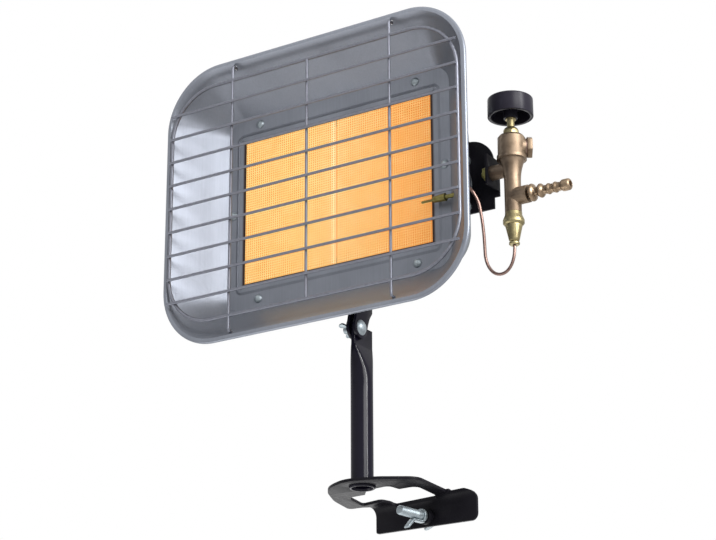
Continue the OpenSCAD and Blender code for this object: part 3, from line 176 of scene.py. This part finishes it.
glow = {"left": -95, "right": 95, "landY": -38.9, "holeY": -38.2}  # mm in the frame: both plaques and their holes


def makeCeramic():  # glowing perforated plaque: yellow at the lands, deeper orange to the right, and a painted shade of deeper orange down the holes
    material, tree, shader, place = startMaterial("perforatedCeramic")
    parts = addNode(tree, "SeparateXYZ", {"Vector": place})
    across = mapRange(tree, parts.outputs["X"], 0.0, 1.0, glow["left"], glow["right"])
    tone = addRamp(tree, across,  # from left to right, with the bright strip at the seam
                   [(0.0, "#ebc97d"), (0.28, "#e8c67a"), (0.44, "#e6c782"), (0.473, "#e8c985"), (0.479, "#f8e4b2"),
                    (0.497, "#f8e2ae"), (0.503, "#e8c784"), (0.72, "#e6b66f"), (0.8, "#e8a85a"), (1.0, "#e6a152")])
    tone = mixColour(tree, 0.35, tone, addTwoTones(tree, noiseOf(tree, place, 9), "#e4ba6b", "#f1d690"))
    # painted shade: the colour turns deeper orange with depth down the holes
    depth = mapRange(tree, parts.outputs["Y"], 0.0, 1.0, glow["landY"], glow["holeY"])
    tone = mixColour(tree, depth, tone, linear("#d98f3a"))
    setInputs(tree, shader, {"Base Color": tone, "Roughness": 0.9, "Emission Color": tone, "Emission Strength": 0.4,
                             "Normal": bumpFrom(tree, noiseOf(tree, place, 0.7, 2), 0.05, 0.4)})
    return material


def makeFibre():  # pressed ceramic fibre, scorched brown where it meets the flame
    material, tree, shader, place = startMaterial("pressedFibre")
    fibres = noiseOf(tree, place, 1.4, 6, 0.7)
    tone = addRamp(tree, fibres, [(0.35, "#5a4634"), (0.65, "#8a7358")])
    setInputs(tree, shader, {"Base Color": tone, "Roughness": 0.95, "Normal": bumpFrom(tree, fibres, 0.3, 0.7)})
    return material


def makeMoulded(name, colour, worn, roughness, grain):  # thermoset or rubber, straight from the mould
    material, tree, shader, place = startMaterial(name)
    tone = mixColour(tree, noiseOf(tree, place, 9), linear(colour), linear(worn))
    rough = mapRange(tree, noiseOf(tree, place, 3, 4), roughness * 0.85, roughness * 1.15)
    setInputs(tree, shader, {"Base Color": tone, "Roughness": rough, "IOR": 1.22,
                             "Normal": bumpFrom(tree, noiseOf(tree, place, grain, 2), 0.03, 0.3)})
    return material


finishes = {
    "reflector_steel": makeReflectorSteel(),
    "plated_wire": makePlated("nickelWire", "#6a6c75", "#82848d", 0.55),
    "zinc_steel": makePlated("brightZinc", "#8f989d", "#a2abb0", 0.48),
    "spring_steel": makePlated("drawnSteel", "#9a9da2", "#b4b7bc", 0.3),
    "galvanised_steel": makeGalvanised(),
    "black_paint_matt": makePaint("stovedBlack", "#100f13", "#17161b", 0.42, 0.02, 1.15, 0.0),
    "black_paint_gloss": makePaint("glossPowder", "#0d0b16", "#14121f", 0.3, 0.008, 1.07, 0.25),
    "cast_bronze": makeBrass("blastedBronze", "#716151", "#8a7967", 0.5, 0.7, 0.03),
    "turned_bronze": makeBrass("turnedBronze", "#7d6b57", "#96826c", 0.4, 0.5, 0.01),
    "machined_brass": makeBrass("turnedBrass", "#837859", "#9b906c", 0.42, 1.2, 0.006),
    # dark brass: real soot on the probe, painted shade on the injector
    "soot_and_shade_brass": makeBrass("sootAndShadeBrass", "#635b36", "#8b8653", 0.5, 1.0, 0.02),
    "copper": makeBrass("drawnCopper", "#7e665f", "#8f776e", 0.42, 2.0, 0.002),
    "burner_ceramic": makeCeramic(),
    "ceramic_fibre": makeFibre(),
    "nitrile_rubber": makeMoulded("nitrileRubber", "#161616", "#222222", 0.6, 0.6),
    "phenolic": makeMoulded("phenolicBlack", "#1b1921", "#25232c", 0.34, 0.9),
}
slotOf = {part["node"]: part["material_slot"] for part in frame["record"]["subparts"]}
bodyOf = {node: body for body, nodes in frame["record"]["behaviour"]["bodies"].items() for node in nodes}
for nodeName, nodeObject in frame["nodes"].items():
    nodeObject.data.materials.clear()
    nodeObject.data.materials.append(finishes[slotOf[nodeName]])
print("materials made:", len(finishes))


def finishPiece(name, bm, body, slotName, smoothAngle=35):  # a bmesh becomes a named piece that rides on its body
    mesh = bpy.data.meshes.new(name)
    bm.to_mesh(mesh)
    bm.free()
    for face in mesh.polygons:
        face.use_smooth = True
    mesh.set_sharp_from_angle(angle=math.radians(smoothAngle))
    piece = bpy.data.objects.new(name, mesh)
    bpy.context.scene.collection.objects.link(piece)
    mesh.materials.append(finishes[slotName])
    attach(piece, body)
    return piece


merging = {"sameSpot": 0.002, "tiny": 0.001, "flat": 0.6}  # mm, mm and degrees


def mergedCopy(node):  # a CAD node's mesh with its triangles joined into whole faces
    bm = bmesh.new()
    bm.from_mesh(frame["nodes"][node].data)
    bmesh.ops.remove_doubles(bm, verts=bm.verts, dist=merging["sameSpot"] * mm)
    bmesh.ops.dissolve_degenerate(bm, edges=bm.edges, dist=merging["tiny"] * mm)
    bmesh.ops.dissolve_limit(bm, angle_limit=math.radians(merging["flat"]), verts=bm.verts, edges=bm.edges)
    return bm


softening = {"sharp": 30, "segments": 2}  # edges sharper than this many degrees are rounded


def softenEdges(bm, width):  # rounds every edge that a tool or a mould would leave rounded
    edges = [e for e in bm.edges if e.is_manifold and e.calc_face_angle(0) > math.radians(softening["sharp"])]
    bmesh.ops.bevel(bm, geom=edges, offset=width * mm, offset_type="OFFSET", affect="EDGES",
                    segments=softening["segments"], profile=0.5, material=-1, clamp_overlap=True)


softened = {  # edge rounding in mm for each piece that keeps its CAD shape
    "base_plate": 0.35, "clamp_boss": 0.4, "clamp_claw": 0.25, "pivot_bracket": 0.35, "wing_nut": 0.3,
    "pivot_washer": 0.15, "valve_bracket": 0.3, "valve_body": 0.5, "gland_nut": 0.25, "knob": 0.5,
    "side_plug": 0.5, "magnet_collar": 0.3, "lead_nut": 0.25, "hose_tail": 0.2, "injector": 0.2,
    "spindle": 0.2, "pivot_bolt": 0.3, "clamp_screw": 0.2, "reflector_screws": 0.2, "bracket_screws": 0.2,
    "pivot_screws": 0.2, "thermocouple_probe": 0.1, "burner_box": 0.6, "mixing_tube": 0.2, "probe_strap": 0.2,
    "probe_nut": 0.15,
}
sootAndShade = ("injector", "thermocouple_probe")  # brass darkened: soot on the probe, and painted shade on the injector, which sits in shadow at the bracket
for nodeName, width in softened.items():
    softMesh = mergedCopy(nodeName)
    softenEdges(softMesh, width)
    softPiece = finishPiece(nodeName + "_finished", softMesh, bodyOf[nodeName], slotOf[nodeName])
    if nodeName in sootAndShade:
        softPiece.data.materials[0] = finishes["soot_and_shade_brass"]
    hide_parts(nodeName)
print("softened pieces:", len(softened))


def facing(bm):  # turns a flat grid's faces to the front
    bm.normal_update()
    bm.faces.ensure_lookup_table()
    if bm.faces[0].normal.y > 0:
        bmesh.ops.reverse_faces(bm, faces=bm.faces)
        bm.normal_update()


plaque = {"pitch": 2.2, "land": 0.42, "holeDeep": 1.4, "holeTaper": 0.02, "corner": 0.55, "smooth": 30}  # mm, degrees


def makePlaque(node):  # a slab whose front is a grid of small blind holes
    low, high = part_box(node)
    columns = round((high.x - low.x) / (plaque["pitch"] * mm))
    rows = round((high.z - low.z) / (plaque["pitch"] * mm))
    bm = bmesh.new()
    bmesh.ops.create_grid(bm, x_segments=columns, y_segments=rows, size=0.5)
    toPlace = Matrix.Translation(((low.x + high.x) / 2, low.y, (low.z + high.z) / 2))
    size = Matrix.Diagonal((high.x - low.x, 1, high.z - low.z, 1))
    bmesh.ops.transform(bm, matrix=toPlace @ size @ Matrix.Rotation(math.radians(90), 4, "X"), verts=bm.verts)
    facing(bm)
    rim = [e for e in bm.edges if e.is_boundary]
    back = bmesh.ops.extrude_edge_only(bm, edges=rim)["geom"]
    backVerts = [v for v in back if isinstance(v, bmesh.types.BMVert)]
    bmesh.ops.translate(bm, vec=(0, high.y - low.y, 0), verts=backVerts)
    bmesh.ops.contextual_create(bm, geom=[e for e in back if isinstance(e, bmesh.types.BMEdge)])
    bm.normal_update()
    inner = [v for v in bm.verts if len(v.link_faces) == 4 and all(f.normal.y < -0.9 for f in v.link_faces)]
    bmesh.ops.bevel(bm, geom=inner, offset=plaque["corner"] * mm, affect="VERTICES", segments=1, profile=0.5,
                    material=-1)
    bm.normal_update()
    halfCell = (plaque["pitch"] * mm) ** 2 / 2  # a cell's face is larger than this, a corner's face smaller
    cells = [f for f in bm.faces if f.normal.y < -0.9 and f.calc_area() > halfCell]
    bmesh.ops.inset_individual(bm, faces=cells, thickness=plaque["land"] * mm, use_even_offset=True)
    bmesh.ops.inset_individual(bm, faces=cells, thickness=plaque["holeTaper"] * mm,
                               depth=-plaque["holeDeep"] * mm, use_even_offset=True)
    piece = finishPiece(node + "_perforated", bm, bodyOf[node], slotOf[node], plaque["smooth"])
    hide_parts(node)
    return piece


for plaqueNode in ("tile_left", "tile_right"):
    made = makePlaque(plaqueNode)
    print("plaque", plaqueNode, "faces:", len(made.data.polygons))


post = {"tubeD": 19, "boreD": 16, "boreTop": 85, "waist": 40, "from": 89, "to": 121.5, "top": 138,  # mm
        "sides": 72, "rings": 28, "smooth": 40, "bladeT": 3.9, "halfBlade": 14.25, "bladeShift": 0.25,
        "foldSharp": 0.5, "foldLate": 6,  # how far the blade's ends sharpen, and how late on the way up
        "pivotY": -7.5, "pivotZ": 135.5, "tongueR": 6.5, "tongueThinner": 0.1, "tongueSides": 48,
        "swage": ((8, 0.2), (9.1, -1.7), (9.5, -1.8), (10.3, -1.8),  # (radius, height) round its section
                  (10.9, -1.4), (11.2, -0.5), (11.2, 0), (9.5, 0.2))}


def pressedRing(bm, height):  # one ring of the tube, pressed flat by steps: a slot shape whose girth hardly changes
    t = min(max((height - post["from"]) / (post["to"] - post["from"]), 0), 1)
    t = 1 - math.cos(t * math.pi / 2)  # 0 is the round tube, 1 the flat blade
    thick = post["tubeD"] + (post["bladeT"] - post["tubeD"]) * t
    straight = math.pi * (post["tubeD"] - thick) / 2
    wide = 1 + t * (post["halfBlade"] / (straight / 2 + thick / 2) - 1)
    square = 1 - post["foldSharp"] * t ** post["foldLate"]  # the ends turn from round to a sharp fold
    ring = []
    for k in range(post["sides"]):
        turn = 2 * math.pi * (k + 0.5) / post["sides"]
        out, side = math.cos(turn), math.sin(turn)
        across = thick / 2 * math.copysign(abs(out) ** square, out)
        along = thick / 2 * math.copysign(abs(side) ** square, side) + math.copysign(straight / 2, side)
        ring.append(bm.verts.new((across * mm, (along * wide + t * post["bladeShift"]) * mm, height * mm)))
    return ring


def joinRings(bm, rings):
    for low, high in zip(rings, rings[1:]):
        for k in range(len(low)):
            j = (k + 1) % len(low)
            bm.faces.new((low[k], low[j], high[j], high[k]))


def roundRing(bm, radius, height):
    turns = [2 * math.pi * (k + 0.5) / post["sides"] for k in range(post["sides"])]
    return [bm.verts.new((radius * math.cos(t) * mm, radius * math.sin(t) * mm, height * mm)) for t in turns]


def makePost():  # the tube and its blade, the swage under the plate and the blade's round end; it has no bolt hole
    bm = bmesh.new()
    gap = (post["to"] - post["from"]) / post["rings"]
    heights = [0, post["waist"]] + [post["from"] + gap * k for k in range(post["rings"] + 1)] + [post["top"]]
    outside = [pressedRing(bm, height) for height in heights]
    inside = [roundRing(bm, post["boreD"] / 2, height) for height in (post["boreTop"], 0)]
    joinRings(bm, [*inside, *outside])
    bm.faces.new(outside[-1])
    bm.faces.new(inside[0])
    swage = [roundRing(bm, radius, height) for radius, height in post["swage"]]
    joinRings(bm, [*swage, swage[0]])
    pivot = Matrix.Translation((0, post["pivotY"] * mm, post["pivotZ"] * mm))
    bmesh.ops.create_cone(bm, cap_ends=True, segments=post["tongueSides"], radius1=post["tongueR"] * mm,
                          radius2=post["tongueR"] * mm, depth=(post["bladeT"] - post["tongueThinner"]) * mm,
                          matrix=pivot @ Matrix.Rotation(math.radians(90), 4, "Y"))
    bmesh.ops.recalc_face_normals(bm, faces=bm.faces)
    return bm


postPiece = finishPiece("post_pressed", makePost(), bodyOf["post"], "black_paint_gloss", post["smooth"])
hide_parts("post")
print("post made")

lead = {  # the CAD route's points in mm, drawn here with a rounder section
    "points": ((128.6, -46, 217.5), (129.9, -45.3, 218.1), (130, -43, 219.8), (127.8, -39, 223), (124, -33, 227.5),
               (120.2, -26, 231.8), (118, -19, 234.4), (117.6, -13.5, 233.6), (119, -10, 229.6), (121.2, -8, 223),
               (122.6, -7, 214), (123.5, -6, 204), (123.9, -5, 194), (123.8, -4, 184), (124, -3.2, 175),
               (126.2, -2.4, 167.2), (130.6, -2, 161.4), (136.4, -2, 158.8), (142.4, -2, 160), (147, -2, 164.6),
               (149.6, -2, 171.2), (150.5, -2, 177.6), (150.5, -2, 181.6), (150.5, -2, 185.1)),
    "width": 2.7, "sides": 20, "stepsBetween": 8, "smooth": 60}


def smoothLine(points, steps):  # a curve through every point, with steps points from each to the next
    line = []
    for i in range(len(points) - 1):
        p = [Vector(points[min(max(i + k, 0), len(points) - 1)]) for k in (-1, 0, 1, 2)]
        for k in range(steps):
            t = k / steps
            line.append((2 * p[1] + (p[2] - p[0]) * t + (2 * p[0] - 5 * p[1] + 4 * p[2] - p[3]) * t ** 2
                         + (3 * p[1] - p[0] - 3 * p[2] + p[3]) * t ** 3) / 2)
    return line + [Vector(points[-1])]


def makeLead():  # a tube along the curve, its section carried along without twist
    bm = bmesh.new()
    line = smoothLine(lead["points"], lead["stepsBetween"])
    up = Vector((0, 0, 1))
    rings = []
    for i, point in enumerate(line):
        axis = (line[min(i + 1, len(line) - 1)] - line[max(i - 1, 0)]).normalized()
        up = (up - axis * up.dot(axis)).normalized()
        out = axis.cross(up)
        turns = [2 * math.pi * k / lead["sides"] for k in range(lead["sides"])]
        ring = [point + lead["width"] / 2 * (up * math.cos(t) + out * math.sin(t)) for t in turns]
        rings.append([bm.verts.new(place * mm) for place in ring])
    joinRings(bm, rings)
    bm.faces.new(rings[0])
    bm.faces.new(rings[-1])
    bmesh.ops.recalc_face_normals(bm, faces=bm.faces)
    return bm


leadPiece = finishPiece("thermocouple_lead_smooth", makeLead(), bodyOf["thermocouple_lead"], "copper",
                        lead["smooth"])
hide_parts("thermocouple_lead")
print("lead made")

step = {"outW": 209.1, "outH": 151.1, "corner": 7, "cornerSides": 8, "sheet": 0.3, "smooth": 40,  # mm, degrees
        "floorAhead": 0.3, "sunk": 0.1,  # the floor's front is ahead of the plaques', and the rim starts behind it
        "shadeTone": "#33231d", "shadeFullTo": 1.4, "shadeEndsAt": 3.2,  # a brown painted shade round the window's edge, and how far it reaches
        # each band of the frame as (width, rise), from outside
        "bands": ((2.4, 1.0), (0.3, -0.8), (5.8, 0), (0.4, -0.05), (0.9, -0.3))}


def makeShadedRimSheet():  # the same sheet with a brown painted shade round the window, where the plaques meet the frame
    material = finishes["reflector_steel"].copy()
    material.name = "paintedShadeSheet"
    tree = material.node_tree
    shader = tree.nodes["Principled BSDF"]
    steel = shader.inputs["Base Color"].links[0].from_socket
    low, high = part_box("tile_left")[0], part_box("tile_right")[1]
    parts = addNode(tree, "SeparateXYZ", {"Vector": addNode(tree, "TexCoord").outputs["Object"]})
    gaps = []
    for axis, near, far in (("X", low.x, high.x), ("Z", low.z, high.z)):
        away = calculate(tree, "ABSOLUTE", calculate(tree, "SUBTRACT", parts.outputs[axis], (near + far) / 2))
        gaps.append(calculate(tree, "SUBTRACT", away, (far - near) / 2))
    beyond = calculate(tree, "MAXIMUM", *gaps)
    # painted shade: dark brown next to the plaques, fading out further from the window
    unshaded = mapRange(tree, beyond, 0.0, 1.0, step["shadeFullTo"] * mm, step["shadeEndsAt"] * mm)
    setInputs(tree, shader, {"Base Color": mixColour(tree, unshaded, linear(step["shadeTone"]), steel)})
    return material


def makeWindowStep():  # the pressed frame round the burner window, standing proud of the reflector's floor
    low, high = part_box("tile_left")
    floorY = low.y - step["floorAhead"] * mm
    bm = bmesh.new()
    bmesh.ops.create_grid(bm, x_segments=1, y_segments=1, size=0.5)
    place = Matrix.Translation((0, floorY + step["sunk"] * mm, (low.z + high.z) / 2))
    size = Matrix.Diagonal((step["outW"] * mm, step["outH"] * mm, 1, 1))
    bmesh.ops.transform(bm, matrix=place @ Matrix.Rotation(math.radians(90), 4, "X") @ size, verts=bm.verts)
    bmesh.ops.bevel(bm, geom=bm.verts[:], offset=step["corner"] * mm, affect="VERTICES",
                    segments=step["cornerSides"], profile=0.5, material=-1)
    facing(bm)
    face = bm.faces[:]
    for width, rise in step["bands"]:
        bmesh.ops.inset_region(bm, faces=face, thickness=width * mm, depth=rise * mm, use_boundary=True,
                               use_even_offset=True)
    bmesh.ops.delete(bm, geom=face, context="FACES")
    bmesh.ops.solidify(bm, geom=bm.faces[:], thickness=step["sheet"] * mm)
    piece = finishPiece("window_step", bm, "head", "reflector_steel", step["smooth"])
    piece.data.materials[0] = makeShadedRimSheet()


makeWindowStep()
print("window step made")

stageSettings = {"floorBelow": 1.55, "floorSize": 30.0, "floorColour": "#f4f4f4", "worldLevel": 0.62}  # metres


def makeStage():
    bm = bmesh.new()
    bmesh.ops.create_grid(bm, x_segments=1, y_segments=1, size=stageSettings["floorSize"] / 2)
    bmesh.ops.translate(bm, vec=(0, 0, -stageSettings["floorBelow"]), verts=bm.verts)
    mesh = bpy.data.meshes.new("studioFloor")
    bm.to_mesh(mesh)
    bm.free()
    floor = bpy.data.objects.new("studioFloor", mesh)
    bpy.context.scene.collection.objects.link(floor)
    material, tree, shader = startMaterial("paleFloor")[:3]
    setInputs(tree, shader, {"Base Color": linear(stageSettings["floorColour"]), "Roughness": 0.9})
    mesh.materials.append(material)


def makeWorld():  # white where it is seen or reflected, dimmer as a light
    world = bpy.data.worlds.new("studioWorld")
    world.use_nodes = True
    bpy.context.scene.world = world
    tree = world.node_tree
    path = addNode(tree, "LightPath").outputs
    seen = calculate(tree, "MAXIMUM", path["Is Camera Ray"], path["Is Glossy Ray"])
    seen = calculate(tree, "MAXIMUM", seen, path["Is Transmission Ray"])
    setInputs(tree, tree.nodes["Background"], {"Color": (1, 1, 1, 1),
                                               "Strength": mapRange(tree, seen, stageSettings["worldLevel"], 1.0)})


lampTarget = (0, 0, 0.22)
lamps = {  # centre, width, height and power: soft boxes and one strip round the object
    "keyBox": {"at": (-0.9, -1.7, 2.1), "wide": 1.3, "high": 1.3, "power": 9},
    "sideBox": {"at": (1.95, -0.95, 1.0), "wide": 1.1, "high": 1.0, "power": 45},
    "edgeStrip": {"at": (1.97, -0.12, 0.97), "wide": 0.1, "high": 1.0, "power": 38},
    "lowBox": {"at": (-0.8, -0.45, -0.9), "wide": 0.9, "high": 0.9, "power": 7},
    "underBox": {"at": (-0.9, 1.4, -0.65), "wide": 0.9, "high": 0.9, "power": 5},
    "backBox": {"at": (-1.2, 1.6, 1.5), "wide": 1.2, "high": 1.2, "power": 10},
}


def makeLamps():
    target = Vector(lampTarget)
    for name, lamp in lamps.items():
        data = bpy.data.lights.new(name, "AREA")
        data.shape = "RECTANGLE"
        data.size = lamp["wide"]
        data.size_y = lamp["high"]
        data.energy = lamp["power"]
        box = bpy.data.objects.new(name, data)
        box.location = lamp["at"]
        box.rotation_euler = (target - box.location).to_track_quat("-Z", "Y").to_euler()
        bpy.context.scene.collection.objects.link(box)


photoView = {"right": 32.886, "up": 19.891, "roll": -0.241, "focal": 2084.61, "pixels": 716,  # degrees, pixels
             "at": (0.90977, -1.41220, -0.41744), "sensor": 36, "nearest": 0.05, "farthest": 60}


def makeCamera():
    a, b, c = (math.radians(photoView[k]) for k in ("right", "up", "roll"))
    right = Vector((math.cos(a), math.sin(a), 0))
    ahead = Vector((-math.sin(a) * math.cos(b), math.cos(a) * math.cos(b), math.sin(b)))
    above = right.cross(ahead)
    right, above = math.cos(c) * right + math.sin(c) * above, math.cos(c) * above - math.sin(c) * right
    data = bpy.data.cameras.new("photoCamera")
    data.sensor_width = photoView["sensor"]
    data.lens = photoView["focal"] / photoView["pixels"] * photoView["sensor"]
    data.clip_start = photoView["nearest"]
    data.clip_end = photoView["farthest"]
    camera = bpy.data.objects.new("photoCamera", data)
    turn = Matrix((right, above, -ahead)).transposed().to_4x4()
    camera.matrix_world = Matrix.Translation(photoView["at"]) @ turn
    bpy.context.scene.collection.objects.link(camera)
    bpy.context.scene.camera = camera


makeStage()
makeWorld()
makeLamps()
makeCamera()
bpy.context.scene.view_settings.view_transform = "Standard"
print("stage, lamps and camera set")
